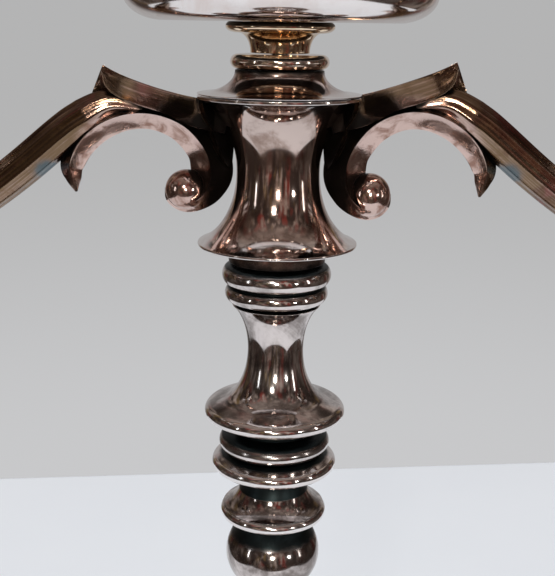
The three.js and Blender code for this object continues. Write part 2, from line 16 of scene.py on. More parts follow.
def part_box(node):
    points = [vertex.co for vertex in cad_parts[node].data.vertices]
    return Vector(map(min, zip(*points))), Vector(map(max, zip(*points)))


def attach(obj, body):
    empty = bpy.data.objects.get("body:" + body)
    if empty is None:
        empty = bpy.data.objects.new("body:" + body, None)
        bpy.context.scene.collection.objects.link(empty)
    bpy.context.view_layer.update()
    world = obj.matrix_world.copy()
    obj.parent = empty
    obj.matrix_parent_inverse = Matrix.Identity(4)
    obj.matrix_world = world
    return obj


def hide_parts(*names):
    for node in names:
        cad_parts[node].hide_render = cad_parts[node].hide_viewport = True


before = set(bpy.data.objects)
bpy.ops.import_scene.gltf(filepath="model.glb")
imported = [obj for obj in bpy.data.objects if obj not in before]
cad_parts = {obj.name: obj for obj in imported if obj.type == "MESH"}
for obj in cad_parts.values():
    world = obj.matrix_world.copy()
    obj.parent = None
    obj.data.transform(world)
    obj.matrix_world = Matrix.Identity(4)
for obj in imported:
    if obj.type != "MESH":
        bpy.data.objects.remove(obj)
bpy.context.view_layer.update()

MM = 0.001
SIDES = 128  # steps round a large turned piece
FINE_SIDES = 96  # steps round a small one
BRANCH_STEPS = 150  # steps along a branch's tube
STICK = "candlestick"
COLLAR = "socket_collar"
BRANCHES = "branches"


def place(node):
    """Centre in plan, underside and top of a CAD node, in millimetres."""
    low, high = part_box(node)
    return (low.x + high.x) / 2 / MM, (low.y + high.y) / 2 / MM, low.z / MM, high.z / MM


# ---- camera ----

_, _, hub_bottom, hub_top = place("hub")
pan_level = place("centre_neck")[3] * MM  # the underside of the centre pan
VIEW_DISTANCE = 0.265  # from the stem, at the level of the centre pan
VIEW_PITCH = 15.0  # degrees below level
VIEW_ROLL = 0.9
LENS = 62.5
VIEW_ASIDE = 0.0003

camera_data = bpy.data.cameras.new("camera")
camera_data.lens = LENS
camera_data.sensor_width = 36.0
camera_data.clip_start = 0.01
camera_data.clip_end = 50.0
camera = bpy.data.objects.new("camera", camera_data)
bpy.context.scene.collection.objects.link(camera)
camera.matrix_world = (
    Matrix.Translation((VIEW_ASIDE, -VIEW_DISTANCE, pan_level))
    @ Matrix.Rotation(math.radians(90 - VIEW_PITCH), 4, "X")
    @ Matrix.Rotation(math.radians(VIEW_ROLL), 4, "Z")
)
bpy.context.scene.camera = camera
bpy.context.scene.view_settings.view_transform = "Standard"


# ---- outlines ----


def arc(centre_r, centre_z, along_r, along_z, start, stop, step=6.0):
    """Points of an elliptical arc: centre plus each half axis times the cosine and sine of an angle that
    runs evenly from start to stop, in degrees."""
    count = max(2, int(abs(stop - start) / step) + 1)
    angle = np.radians(np.linspace(start, stop, count))
    return np.column_stack([centre_r + along_r * np.cos(angle), centre_z + along_z * np.sin(angle)])


def outline(*pieces):
    """Corner points and arcs, one after the other, as one array."""
    return np.vstack([np.atleast_2d(np.asarray(piece, float)) for piece in pieces])


def bead(root, height, radius):
    """A half-round swelling: half an ellipse that stands on the root radius over the whole height."""
    return arc(root, height / 2, radius - root, height / 2, -90, 90)


def bored(outside, bore):
    """An outside from bottom to top, closed by a plain bore."""
    return outline(outside, (bore, outside[-1][1]), (bore, outside[0][1]))


# ---- surfaces ----


def mesh_from_grid(name, points, uv, close_rows, caps=False):
    """A surface from a grid of points, row after row. Each row is a closed ring, and rings join their
    neighbours with four-sided faces; close_rows also joins the last ring to the first. uv gives the two
    surface coordinates of each ring (first) and of each step round it (second)."""
    rows, steps = points.shape[:2]
    spans = rows if close_rows else rows - 1
    i, j = np.meshgrid(np.arange(spans), np.arange(steps), indexing="ij")
    i_next, j_next = (i + 1) % rows, (j + 1) % steps
    corners = np.stack([i * steps + j, i * steps + j_next, i_next * steps + j_next, i_next * steps + j], -1)
    along = np.stack([uv[0][i], uv[0][i], uv[0][i + 1], uv[0][i + 1]], -1)
    around = np.stack([uv[1][j], uv[1][j + 1], uv[1][j + 1], uv[1][j]], -1)
    faces = corners.reshape(-1, 4).tolist()
    coordinates = np.stack([around, along], -1).reshape(-1, 2)
    if caps:
        first = list(range(steps))[::-1]
        last = list(range((rows - 1) * steps, rows * steps))
        faces += [first, last]
        coordinates = np.vstack([coordinates, np.zeros((2 * steps, 2))])
    mesh = bpy.data.meshes.new(name)
    mesh.from_pydata(points.reshape(-1, 3).tolist(), [], faces)
    layer = mesh.uv_layers.new(name="surface")
    layer.data.foreach_set("uv", coordinates.astype(np.float32).ravel())
    mesh.polygons.foreach_set("use_smooth", np.ones(len(mesh.polygons), bool))
    mesh.update()
    return mesh


def add_object(name, mesh):
    piece = bpy.data.objects.new(name, mesh)
    bpy.context.scene.collection.objects.link(piece)
    return piece


def store(mesh, name, values):
    """Keeps one number per vertex under that name, for the materials to read."""
    attribute = mesh.attributes.new(name, "FLOAT", "POINT")
    attribute.data.foreach_set("value", np.asarray(values, np.float32))


def vertices_of(mesh):
    co = np.empty(len(mesh.vertices) * 3)
    mesh.vertices.foreach_get("co", co)
    return co.reshape(-1, 3)


REACH = 7.0  # millimetres up or down within which a neighbour shades a recess


def shelter(radius, level, around):
    """How deep each point lies in a recess, 0 to 1: the steepest slope, up and down the stem, from the
    point to any outline point within reach, the smaller of the two, made soft."""
    gap = around[None, :, 1] - level[:, None]
    rise = around[None, :, 0] - radius[:, None]
    slope = np.clip(rise, 0, None) / np.sqrt(gap**2 + 1.0)
    above = np.where((gap > 0.2) & (gap < REACH), slope, 0).max(1)
    below = np.where((gap < -0.2) & (gap > -REACH), slope, 0).max(1)
    both = np.minimum(above, below)
    return np.clip(both / 0.75, 0, 1) ** 1.2


def proud(radius, level, around):
    """How far each point stands out from the metal above and below it, 0 to 1: its radius less the mean
    outside radius of the stack over the nearest few millimetres."""
    spread = np.exp(-(((around[None, :, 1] - level[:, None]) / 4.5) ** 2))
    mean = (spread * around[None, :, 0]).sum(1) / spread.sum(1)
    return np.clip((radius - mean) / 1.6 - 0.5, 0, 1)


turned_pieces = []  # (object, outline in millimetres, centre x, level above which it has no recess)


def turn(name, points, body, material, sides=SIDES, edge=0.22, nodes=None, open_above=math.inf):
    """A turned piece: its outline (r, z) becomes x = r cos a, y = r sin a, z, for a round the circle.
    The outline runs up the outside and down the bore, or from axis to axis. Above the level open_above it
    counts as open, so it keeps no black there."""
    x, y, bottom, _ = place((nodes or [name])[0])
    points = np.asarray(points, float)
    angle = np.linspace(0, 2 * np.pi, sides, endpoint=False)
    ring = np.stack([np.cos(angle), np.sin(angle)], -1)
    grid = np.empty((len(points), sides, 3))
    grid[..., :2] = points[:, None, :1] * ring[None] + (x, y)
    grid[..., 2] = points[:, None, 1] + bottom
    open_ended = points[0][0] == 0
    lengths = np.hypot(*np.diff(np.vstack([points, points[:1]]), axis=0).T)
    along = np.concatenate([[0], np.cumsum(lengths)]) * MM
    around = np.arange(sides + 1) / sides
    mesh = mesh_from_grid(f"{name}_turned", grid * MM, (along, around), not open_ended)
    levels = np.repeat(points[:, 1] + bottom, sides)
    store(mesh, "radius", np.repeat(points[:, 0], sides))
    store(mesh, "level", levels)
    if open_ended:
        weld = bmesh.new()
        weld.from_mesh(mesh)
        bmesh.ops.remove_doubles(weld, verts=weld.verts, dist=1e-7)
        weld.to_mesh(mesh)
        weld.free()
    piece = add_object(f"{name}_turned", mesh)
    if edge:
        bevel = piece.modifiers.new("edges", "BEVEL")
        bevel.width = edge * MM
        bevel.segments = 2
        bevel.limit_method = "ANGLE"
        bevel.angle_limit = math.radians(28)
        bevel.harden_normals = True
    mesh.materials.append(material)
    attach(piece, body)
    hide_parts(*(nodes or [name]))
    turned_pieces.append((piece, points + (0, bottom), x, bottom + open_above))
    return piece


def write_shelters():
    """Gives every turned piece its recess value, from the outlines of all pieces on the same axis."""
    for piece, _, x, open_above in turned_pieces:
        stack = np.vstack([other for _, other, other_x, _ in turned_pieces if abs(other_x - x) < 1])
        mesh = piece.data
        values = np.empty(len(mesh.vertices), np.float32)
        mesh.attributes["radius"].data.foreach_get("value", values)
        radius = values.copy()
        mesh.attributes["level"].data.foreach_get("value", values)
        level, unique = np.unique(np.stack([radius, values], -1).round(3), axis=0, return_inverse=True)
        recess = shelter(level[:, 0], level[:, 1], stack) * (level[:, 1] < open_above)
        store(mesh, "recess", recess[unique.ravel()])
        store(mesh, "wear", proud(level[:, 0], level[:, 1], stack)[unique.ravel()])
        mesh.attributes.remove(mesh.attributes["radius"])
        mesh.attributes.remove(mesh.attributes["level"])


# ---- the branches' casting ----

hub_mid = (hub_bottom + hub_top) / 2
hub_low, hub_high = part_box("hub")
hub_radius = (hub_high.x - hub_low.x) / 2 / MM
HUB_COVE = 10.4
HUB_RIM = 0.85
HUB_FLARE = 3.0  # the waist's curve has its centre this far outside the rims
HALF_HUB = (hub_top - hub_bottom) / 2
STOUT = 0.85  # power of the kite section: below 1, its faces are a little hollow


def smooth(rows, count):
    """Cubic curves through the rows: between two rows each column is the Catmull-Rom blend of the four
    nearest rows, with the end rows repeated."""
    rows = np.asarray(rows, float)
    padded = np.vstack([2 * rows[0] - rows[1], rows, 2 * rows[-1] - rows[-2]])
    t = np.linspace(0, len(rows) - 1, count)
    i = np.minimum(t.astype(int), len(rows) - 2)
    f = (t - i)[:, None]
    a, b, c, d = (padded[i + k] for k in range(4))
    return 0.5 * (2 * b + (c - a) * f + (2 * a - 5 * b + 4 * c - d) * f**2 + (3 * b - a - 3 * c + d) * f**3)


def across_of(path):
    """Unit directions across a path in the plane of x and z, to the right of its way along."""
    along = np.gradient(path, axis=0)
    along /= np.linalg.norm(along, axis=1)[:, None]
    return np.column_stack([along[:, 1], -along[:, 0]])


def sweep(name, rows, steps, power=1.0, flutes=0.0):
    """A closed surface round a path in the plane y = 0, from rows of x, z, half width, half thickness and
    ridge. A section's points are signed powers of the cosine and sine of an angle, times the half width
    across the path and the half thickness along y; ridge slides the front and back edges across, and
    flutes swells the section in waves round it."""
    path = rows[:, :2]
    half_width, half_thickness, ridge = (rows[:, column, None] for column in (2, 3, 4))
    angle = np.linspace(0, 2 * np.pi, steps, endpoint=False)
    cos, sin = np.cos(angle), np.sin(angle)
    wide = np.sign(cos) * np.abs(cos) ** power
    thick = np.sign(sin) * np.abs(sin) ** power
    swell = 1 + flutes * np.cos(FLUTES * angle)
    offset = half_width * (wide + ridge * np.abs(thick)) * swell
    depth = half_thickness * thick * swell
    across = across_of(path)
    x = path[:, None, 0] + offset * across[:, None, 0]
    z = path[:, None, 1] + offset * across[:, None, 1]
    grid = np.stack([x, depth, z], -1)
    lengths = np.linalg.norm(np.diff(path, axis=0), axis=1)
    along = np.concatenate([[0], np.cumsum(lengths), [lengths.sum()]]) * MM
    around = np.arange(steps + 1) / steps
    mesh = mesh_from_grid(name, (grid + (0, 0, hub_mid)) * MM, (along, around), False, caps=True)
    return add_object(name, mesh)


# Rows are distance out from the hub's rim, level above the hub's middle, half width, half thickness, ridge.
SCROLL_ROWS = [
    (32.4, -6.2, 0.3, 0.3, 0.0), (33.0, -2.6, 2.1, 2.0, 0.0), (33.2, 1.4, 3.2, 3.2, 0.05),
    (30.3, 6.9, 3.6, 4.0, 0.15), (24.9, 11.7, 3.7, 4.6, 0.2), (18.0, 14.6, 3.8, 5.0, 0.2),
    (10.5, 14.7, 4.0, 5.2, 0.2), (3.0, 11.8, 4.8, 5.4, 0.1), (-2.5, 5.8, 5.4, 5.4, 0.0),
    (-3.9, -0.5, 5.6, 5.4, 0.0), (-2.6, -5.2, 4.5, 5.0, 0.0), (0.2, -8.1, 3.5, 4.4, 0.0),
    (3.6, -8.9, 3.1, 3.8, 0.0), (6.6, -7.6, 2.2, 2.8, 0.0), (8.3, -5.0, 0.5, 0.8, 0.0),
]
LEAF_ROWS = [
    (-8.0, 13.0, 5.0, 4.8, 0.5), (0.5, 15.0, 4.7, 5.0, 0.55), (8.0, 18.0, 3.5, 5.2, 0.58),
    (14.5, 20.1, 3.4, 5.2, 0.6), (19.5, 21.8, 3.5, 5.0, 0.5), (23.0, 22.9, 3.9, 3.9, 0.1),
    (25.0, 23.6, 4.2, 2.1, -0.45), (26.0, 24.0, 4.3, 0.3, -0.8),
]
WEB_ROWS = [
    (-1.5, 19.2, 1.2, 3.6, 0.0), (-2.6, 15.5, 3.4, 5.0, 0.0), (-4.4, 11.0, 4.2, 5.0, 0.0),
    (-6.0, 6.5, 3.9, 4.8, 0.0), (-7.6, 2.6, 2.0, 3.4, 0.0), (-8.6, 0.2, 0.3, 0.4, 0.0),
]
SCROLL_MIDDLE = 14.0  # how far out from the rim the scroll's arch has its middle
FORK_AT = (39.0, -0.5)  # where the scroll's tip leaves the tube, as distance out and level
KNOB_AT = (3.0, -5.6)
KNOB_RADIUS = 5.6
TUBE_RADIUS = 5.0
TUBE_END_RADIUS = 4.3
BRANCH_SLOPE = math.radians(40)
FLUTES = 9  # soft ridges round a tube
FLUTE_HEIGHT = 0.035  # as a share of the tube's radius
STRETCH = 0.05  # the right casting is this much taller than drawn, and the left one this much lower
LIFT = 0.4

ferrule_x, _, ferrule_bottom, _ = place("right_ferrule")
branch_end = np.array([ferrule_x, ferrule_bottom - 0.3 - hub_mid])


def bezier(a, b, c, d, count):
    """Cubic Bezier curve through a and d, pulled towards b and c."""
    t = np.linspace(0, 1, count)[:, None]
    return (1 - t) ** 3 * a + 3 * t * (1 - t) ** 2 * b + 3 * t**2 * (1 - t) * c + t**3 * d


def branch_shells():
    """The five closed surfaces of the right-hand branch."""
    out = np.array([math.cos(BRANCH_SLOPE), -math.sin(BRANCH_SLOPE)])
    leave = np.array([hub_radius + 43, 3.3])
    run = branch_end[0] - leave[0]
    root = smooth(
        [
            (hub_radius + 14, 16.9), (hub_radius + 22.5, 17.7), (hub_radius + 30.3, 13.4),
            leave - 0.12 * run * out, leave,
        ],
        60,
    )
    reach = bezier(leave, leave + 0.66 * run * out, branch_end - (0, 0.43 * run), branch_end, BRANCH_STEPS)
    path = np.vstack([root, reach[1:]])
    share = np.clip((np.arange(len(path)) - len(root)) / len(reach), 0, 1)
    radius = TUBE_RADIUS + (TUBE_END_RADIUS - TUBE_RADIUS) * share
    radius[: len(root)] *= np.minimum(1, 0.6 + 0.9 * np.linspace(0, 1, len(root)))
    tube = np.column_stack([path, radius, radius, 0 * radius])
    angle = np.linspace(0.02, math.pi - 0.02, 40)
    knob_x = hub_radius + KNOB_AT[0] - KNOB_RADIUS * np.cos(angle)
    knob_radius = KNOB_RADIUS * np.sin(angle)
    flat = 0 * angle
    knob = np.column_stack([knob_x, KNOB_AT[1] + flat, knob_radius, knob_radius, flat])
    shells = [sweep("tube", tube, 72, flutes=FLUTE_HEIGHT), sweep("knob", knob, 48)]
    for name, rows, count in (("scroll", SCROLL_ROWS, 210), ("leaf", LEAF_ROWS, 100), ("web", WEB_ROWS, 60)):
        curve = smooth(rows, count)
        curve[:, 0] += hub_radius
        shells.append(sweep(name, curve, 72, power=2 / STOUT))
    return shells


def even_directions(count):
    """Directions spread over a hemisphere, thick at the pole as the cosine: a spiral of golden angles."""
    share = (np.arange(count) + 0.5) / count
    turn_angle = np.arange(count) * math.pi * (3 - math.sqrt(5))
    radius = np.sqrt(share)
    return np.stack([radius * np.cos(turn_angle), radius * np.sin(turn_angle), np.sqrt(1 - share)], -1)


def sheltered(piece, others, reach=7.0, count=28):
    """For each vertex, the share of directions above its surface that meet metal within reach (in
    millimetres), near metal counting most."""
    graph = bpy.context.evaluated_depsgraph_get()
    trees = [BVHTree.FromObject(each, graph) for each in (piece, *others)]
    spread = [Vector(direction) for direction in even_directions(count)]
    values = np.zeros(len(piece.data.vertices))
    for vertex in piece.data.vertices:
        out = vertex.normal
        start = vertex.co + out * (0.05 * MM)
        turned_up = out.to_track_quat("Z", "Y").to_matrix()
        total = 0.0
        for direction in spread:
            way = turned_up @ direction
            near = reach * MM
            for tree in trees:
                hit = tree.ray_cast(start, way, near)
                if hit[3] is not None:
                    near = hit[3]
            total += 1 - near / (reach * MM)
        values[vertex.index] = total / count
    return values


def joined(pieces):
    """One mesh from overlapping closed pieces, made by an exact boolean union."""
    body = pieces[0]
    for other in pieces[1:]:
        union = body.modifiers.new("join", "BOOLEAN")
        union.operation = "UNION"
        union.solver = "EXACT"
        union.object = other
    graph = bpy.context.evaluated_depsgraph_get()
    mesh = bpy.data.meshes.new_from_object(body.evaluated_get(graph))
    for piece in pieces:
        bpy.data.objects.remove(piece)
    return add_object("casting", mesh)


def ridges(mesh):
    """How sharply the surface turns outward at each vertex, 0 to 1: how far the vertex stands out of the
    mean of its neighbours, as a share of their distance."""
    points = vertices_of(mesh)
    normals = np.empty(points.size)
    mesh.vertices.foreach_get("normal", normals)
    edges = np.empty(2 * len(mesh.edges), int)
    mesh.edges.foreach_get("vertices", edges)
    edges = edges.reshape(-1, 2)
    offset = np.zeros_like(points)
    length = np.zeros(len(points))
    for a, b in (edges.T, edges.T[::-1]):
        np.add.at(offset, a, points[b] - points[a])
        np.add.at(length, a, np.linalg.norm(points[b] - points[a], axis=1))
    out = -(offset * normals.reshape(-1, 3)).sum(1) / np.maximum(length, 1e-9)
    return np.clip((out - 0.1) / 0.15, 0, 1)


def soft_step(value, low, high):
    share = np.clip((value - low) / (high - low), 0, 1)
    return share * share * (3 - 2 * share)


def outer_faces(mesh, out, level):
    """The faces of the scroll and the web that look away from the scroll's middle, 0 to 1, near the hub
    only: the ones a polishing cloth never reaches. They end nearer the hub at the knob than at the arch."""
    normals = np.empty(3 * len(mesh.vertices))
    mesh.vertices.foreach_get("normal", normals)
    normals = normals.reshape(-1, 3)
    away = np.column_stack([out - SCROLL_MIDDLE, level])
    away /= np.linalg.norm(away, axis=1)[:, None]
    facing = normals[:, 0] * away[:, 0] + normals[:, 2] * away[:, 1]
    limit = 1 + 12 * np.clip((level + 5) / 10, 0, 1)
    return soft_step(facing, -0.05, 0.3) * soft_step(limit - out, 0, 5) * soft_step(17 - level, 0, 4)


def add_branches(material, neighbours):
    """Joins the shells into one casting, then makes the right branch from it and the left one by half a
    turn about the stem. Each is bent a little its own way, as hand-finished castings are."""
    body = joined(branch_shells())
    hollow = sheltered(body, neighbours)
    mesh = body.data
    points = vertices_of(mesh) / MM
    x, z = points[:, 0], points[:, 2] - hub_mid
    out = x - hub_radius
    recess = np.clip(1.7 * hollow + 0.75 * outer_faces(mesh, out, z), 0, 1)
    brown = soft_step(np.hypot(out - SCROLL_MIDDLE, z), 17, 20.5)
    wear = ridges(mesh) * np.clip(1.2 - 2.5 * hollow, 0, 1) * (1 - 0.7 * brown)
    fork = np.hypot(out - FORK_AT[0], z - FORK_AT[1])
    bloom = np.exp(-((fork / 5.0) ** 2))
    near_hub = np.exp(-(((x - 30) / 25) ** 2))
    lean = STRETCH * (z - 7) * near_hub + LIFT * np.sin(np.pi * x / branch_end[0])
    kept = {"recess": recess, "bloom": bloom, "brown": brown, "wear": wear}
    for side, sign in (("right", 1), ("left", -1)):
        copy = mesh.copy()
        copy.name = f"{side}_branch"
        bent = (points + np.column_stack([0 * x, 0 * x, sign * lean])) * (sign, sign, 1)
        copy.vertices.foreach_set("co", (bent * MM).ravel())
        copy.update()
        for value_name, values in kept.items():
            store(copy, value_name, values)
        copy.set_sharp_from_angle(angle=math.radians(32))
        copy.materials.clear()
        copy.materials.append(material)
        branch = add_object(f"{side}_branch", copy)
        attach(branch, BRANCHES)
        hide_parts(f"{side}_arm")
    bpy.data.objects.remove(body)
    bpy.data.meshes.remove(mesh)


# ---- materials ----


def new_group(name, inputs, outputs):
    group = bpy.data.node_groups.new(name, "ShaderNodeTree")
    for socket, kind, default in inputs:
        made = group.interface.new_socket(socket, in_out="INPUT", socket_type=f"NodeSocket{kind}")
        made.default_value = default
    for socket, kind in outputs:
        group.interface.new_socket(socket, in_out="OUTPUT", socket_type=f"NodeSocket{kind}")
    return group, Wiring(group)


class Wiring:
    """Short ways to add and link nodes in one tree."""

    def __init__(self, tree):
        self.tree = tree

    def node(self, kind, **settings):
        """A new shader node of that kind; the group's own ends are named in full."""
        made = self.tree.nodes.new(kind if kind.startswith("Node") else f"ShaderNode{kind}")
        for key, value in settings.items():
            setattr(made, key, value)
        return made

    def plug(self, socket, value):
        """Links value to the socket if it is another node's output, else sets it."""
        if isinstance(value, bpy.types.NodeSocket):
            self.tree.links.new(value, socket)
        else:
            socket.default_value = value

    def math(self, operation, a, b=None, clamp=False):
        made = self.node("Math", operation=operation, use_clamp=clamp)
        self.plug(made.inputs[0], a)
        if b is not None:
            self.plug(made.inputs[1], b)
        return made.outputs[0]

    def noise(self, vector, scale, detail=4.0, roughness=0.55, distortion=0.0):
        made = self.node("TexNoise")
        for socket, value in (
            ("Vector", vector), ("Scale", scale), ("Detail", detail),
            ("Roughness", roughness), ("Distortion", distortion),
        ):
            self.plug(made.inputs[socket], value)
        return made.outputs["Fac"]

    def ramp(self, value, low, high, out_low=0.0, out_high=1.0):
        made = self.node("MapRange", interpolation_type="SMOOTHSTEP")
        for socket, setting in zip(made.inputs, (value, low, high, out_low, out_high)):
            self.plug(socket, setting)
        return made.outputs["Result"]

    def mix(self, share, a, b, blend="MIX"):
        made = self.node("Mix", data_type="RGBA", blend_type=blend)
        self.plug(made.inputs["Factor"], share)
        self.plug(made.inputs[6], a)
        self.plug(made.inputs[7], b)
        return made.outputs[2]

    def stretched(self, vector, scale):
        made = self.node("Mapping")
        self.plug(made.inputs["Vector"], vector)
        made.inputs["Scale"].default_value = scale
        return made.outputs["Vector"]

    def stored(self, name):
        return self.node("Attribute", attribute_name=name).outputs["Fac"]


def rgb(r, g, b):
    return (r, g, b, 1.0)


def tarnish_group():
    """Worn plate: clean metal that warms in cloudy patches, goes black in recesses, stays bright on worn
    edges, and turns a muted teal where the bloom value is high."""
    group, w = new_group(
        "tarnish",
        [
            ("Clean", "Color", rgb(0.85, 0.78, 0.76)), ("Warm", "Color", rgb(0.6, 0.45, 0.4)),
            ("Black", "Color", rgb(0.02, 0.017, 0.015)), ("Spread", "Float", 0.5),
            ("Patch", "Float", 60.0), ("Gloss", "Float", 0.1), ("Soot", "Float", 1.0),
        ],
        [("Color", "Color"), ("Roughness", "Float"), ("Blackened", "Float")],
    )
    source = w.node("NodeGroupInput").outputs
    place_in = w.node("TexCoord").outputs["Object"]
    cloud = w.noise(place_in, source["Patch"], 5.0, 0.62, 0.6)
    speck = w.noise(place_in, 900.0, 3.0, 0.6)
    edge = w.math("SUBTRACT", 0.78, w.math("MULTIPLY", source["Spread"], 0.5))
    warm = w.ramp(w.math("ADD", cloud, w.math("MULTIPLY", speck, 0.12)), edge, w.math("ADD", edge, 0.22))
    recess = w.math("MULTIPLY", w.stored("recess"), source["Soot"])
    wander = w.math("MULTIPLY", w.math("SUBTRACT", w.noise(place_in, 350.0, 5.0, 0.65), 0.5), 0.55)
    black = w.ramp(w.math("ADD", recess, wander), 0.28, 0.78)
    near_black = w.ramp(w.math("ADD", recess, wander), 0.08, 0.5)
    base = w.mix(warm, source["Clean"], source["Warm"])
    base = w.mix(w.math("MULTIPLY", near_black, 0.6), base, source["Warm"])
    streaks = w.noise(w.stretched(w.node("TexCoord").outputs["UV"], (70.0, 30.0, 1.0)), 1.0, 4.0, 0.6, 0.3)
    brown = w.math("MULTIPLY", w.stored("brown"), w.ramp(streaks, 0.44, 0.7, 0.97, 0.6))
    tint = w.noise(place_in, 75.0, 3.0, 0.6)
    stain = w.mix(w.ramp(tint, 0.44, 0.56), rgb(0.19, 0.125, 0.07), rgb(0.13, 0.075, 0.048))
    stain = w.mix(w.ramp(tint, 0.56, 0.64), stain, rgb(0.2, 0.085, 0.07))
    base = w.mix(brown, base, stain)
    worn = w.math("MULTIPLY", w.stored("wear"), w.ramp(cloud, 0.35, 0.6, 0.45, 0.9))
    base = w.mix(worn, base, rgb(0.93, 0.89, 0.87))
    bloom = w.math("ADD", w.stored("bloom"), w.math("MULTIPLY", wander, 0.8))
    film = w.mix(w.ramp(bloom, 0.5, 0.85), rgb(0.2, 0.16, 0.14), rgb(0.07, 0.13, 0.16))
    base = w.mix(w.ramp(bloom, 0.4, 0.75, 0.0, 0.75), base, film)
    target = w.node("NodeGroupOutput").inputs
    w.plug(target["Color"], w.mix(black, base, source["Black"]))
    rough = w.math("ADD", source["Gloss"], w.math("MULTIPLY", warm, 0.07))
    w.plug(target["Roughness"], w.math("ADD", rough, w.math("MULTIPLY", black, 0.3)))
    w.plug(target["Blackened"], black)
    return group


def surface_group():
    """The height of a handled metal surface: faint turning rings on the surface's own coordinates, fine
    hairlines in two directions, a cast grain, and a slow hand-made waviness."""
    group, w = new_group(
        "handled_surface",
        [("Rings", "Float", 1.0), ("Grain", "Float", 0.0), ("Waviness", "Float", 1.0)],
        [("Height", "Float")],
    )
    source = w.node("NodeGroupInput").outputs
    coordinates = w.node("TexCoord").outputs
    rings = w.noise(w.stretched(coordinates["UV"], (3.0, 5200.0, 1.0)), 1.0, 3.0, 0.6)
    lines_a = w.noise(w.stretched(coordinates["Object"], (300.0, 300.0, 7000.0)), 1.0, 2.0)
    lines_b = w.noise(w.stretched(coordinates["Object"], (6000.0, 900.0, 400.0)), 1.0, 2.0)
    hairs = w.math("ADD", w.ramp(lines_a, 0.66, 0.74), w.ramp(lines_b, 0.68, 0.76))
    waves = w.noise(coordinates["Object"], 95.0, 2.0)
    height = w.math("MULTIPLY", rings, w.math("MULTIPLY", source["Rings"], 0.05))
    height = w.math("SUBTRACT", height, w.math("MULTIPLY", hairs, 0.03))
    grain = w.noise(coordinates["Object"], 1400.0, 2.0)
    height = w.math("ADD", height, w.math("MULTIPLY", grain, source["Grain"]))
    height = w.math("ADD", height, w.math("MULTIPLY", waves, source["Waviness"]))
    w.plug(w.node("NodeGroupOutput").inputs["Height"], height)
    return group


tarnish = tarnish_group()
handled = surface_group()


def new_material(name):
    material = bpy.data.materials.new(name)
    material.use_nodes = True
    tree = material.node_tree
    w = Wiring(tree)
    return material, w, tree.nodes["Principled BSDF"].inputs


def use(w, group, **values):
    made = w.node("Group")
    made.node_tree = group
    for key, value in values.items():
        w.plug(made.inputs[key], value)
    return made.outputs


WARM_BLACK = (0.02, 0.017, 0.015)
COOL_BLACK = (0.026, 0.036, 0.038)


def plate(
    name, clean, warm, spread, patch, black=WARM_BLACK, gloss=0.07, rings=1.0, waves=0.8, soot=1.0, grain=0.0
):
    """Plated metal: the tarnish group for colour and gloss, the handled surface for its bump. spread is
    the share that is warm, and patch how small its clouds are."""
    material, w, shader = new_material(name)
    colour = use(
        w, tarnish, Clean=rgb(*clean), Warm=rgb(*warm), Black=rgb(*black), Spread=spread, Patch=patch,
        Gloss=gloss, Soot=soot,
    )
    w.plug(shader["Base Color"], colour["Color"])
    w.plug(shader["Roughness"], colour["Roughness"])
    shader["Metallic"].default_value = 1.0
    bump = w.node("Bump")
    bump.inputs["Distance"].default_value = 0.00006
    bump.inputs["Strength"].default_value = 0.6
    w.plug(bump.inputs["Height"], use(w, handled, Rings=rings, Grain=grain, Waviness=waves)["Height"])
    w.plug(shader["Normal"], bump.outputs["Normal"])
    return material


turned_silver = plate("turned_silver", (0.64, 0.52, 0.47), (0.32, 0.225, 0.185), 0.6, 90.0)
stem_silver = plate("stem_silver", (0.74, 0.675, 0.65), (0.25, 0.215, 0.2), 0.65, 80.0, COOL_BLACK, soot=1.3)
cast_silver = plate(
    "cast_silver", (0.7, 0.52, 0.46), (0.34, 0.2, 0.155), 0.55, 190.0,
    gloss=0.12, rings=0.0, waves=3.0, grain=0.5,
)
worn_gilt = plate("worn_gilt", (0.9, 0.72, 0.52), (0.68, 0.48, 0.3), 0.5, 90.0, gloss=0.08, soot=0.3)


def turned_steel():
    """Plain steel with fine machining lines and a little dull oxide."""
    material, w, shader = new_material("turned_steel")
    place_in = w.node("TexCoord").outputs["Object"]
    lines = w.noise(w.stretched(place_in, (400.0, 400.0, 9000.0)), 1.0, 3.0)
    oxide = w.ramp(w.noise(place_in, 160.0, 5.0), 0.45, 0.7)
    w.plug(shader["Base Color"], w.mix(oxide, rgb(0.5, 0.5, 0.52), rgb(0.26, 0.22, 0.19)))
    w.plug(shader["Roughness"], w.ramp(lines, 0.2, 0.8, 0.28, 0.5))
    shader["Metallic"].default_value = 1.0
    bump = w.node("Bump")
    bump.inputs["Distance"].default_value = 0.00003
    w.plug(bump.inputs["Height"], lines)
    w.plug(shader["Normal"], bump.outputs["Normal"])
    return material


def dark_pitch():
    """Dull poured pitch with a grainy skin."""
    material, w, shader = new_material("dark_pitch")
    place_in = w.node("TexCoord").outputs["Object"]
    grain = w.noise(place_in, 1200.0, 4.0)
    cloud = w.noise(place_in, 120.0)
    w.plug(shader["Base Color"], w.mix(cloud, rgb(0.02, 0.016, 0.013), rgb(0.05, 0.04, 0.03)))
    w.plug(shader["Roughness"], w.ramp(grain, 0.3, 0.7, 0.6, 0.9))
    bump = w.node("Bump")
    bump.inputs["Distance"].default_value = 0.0002
    w.plug(bump.inputs["Height"], grain)
    w.plug(shader["Normal"], bump.outputs["Normal"])
    return material


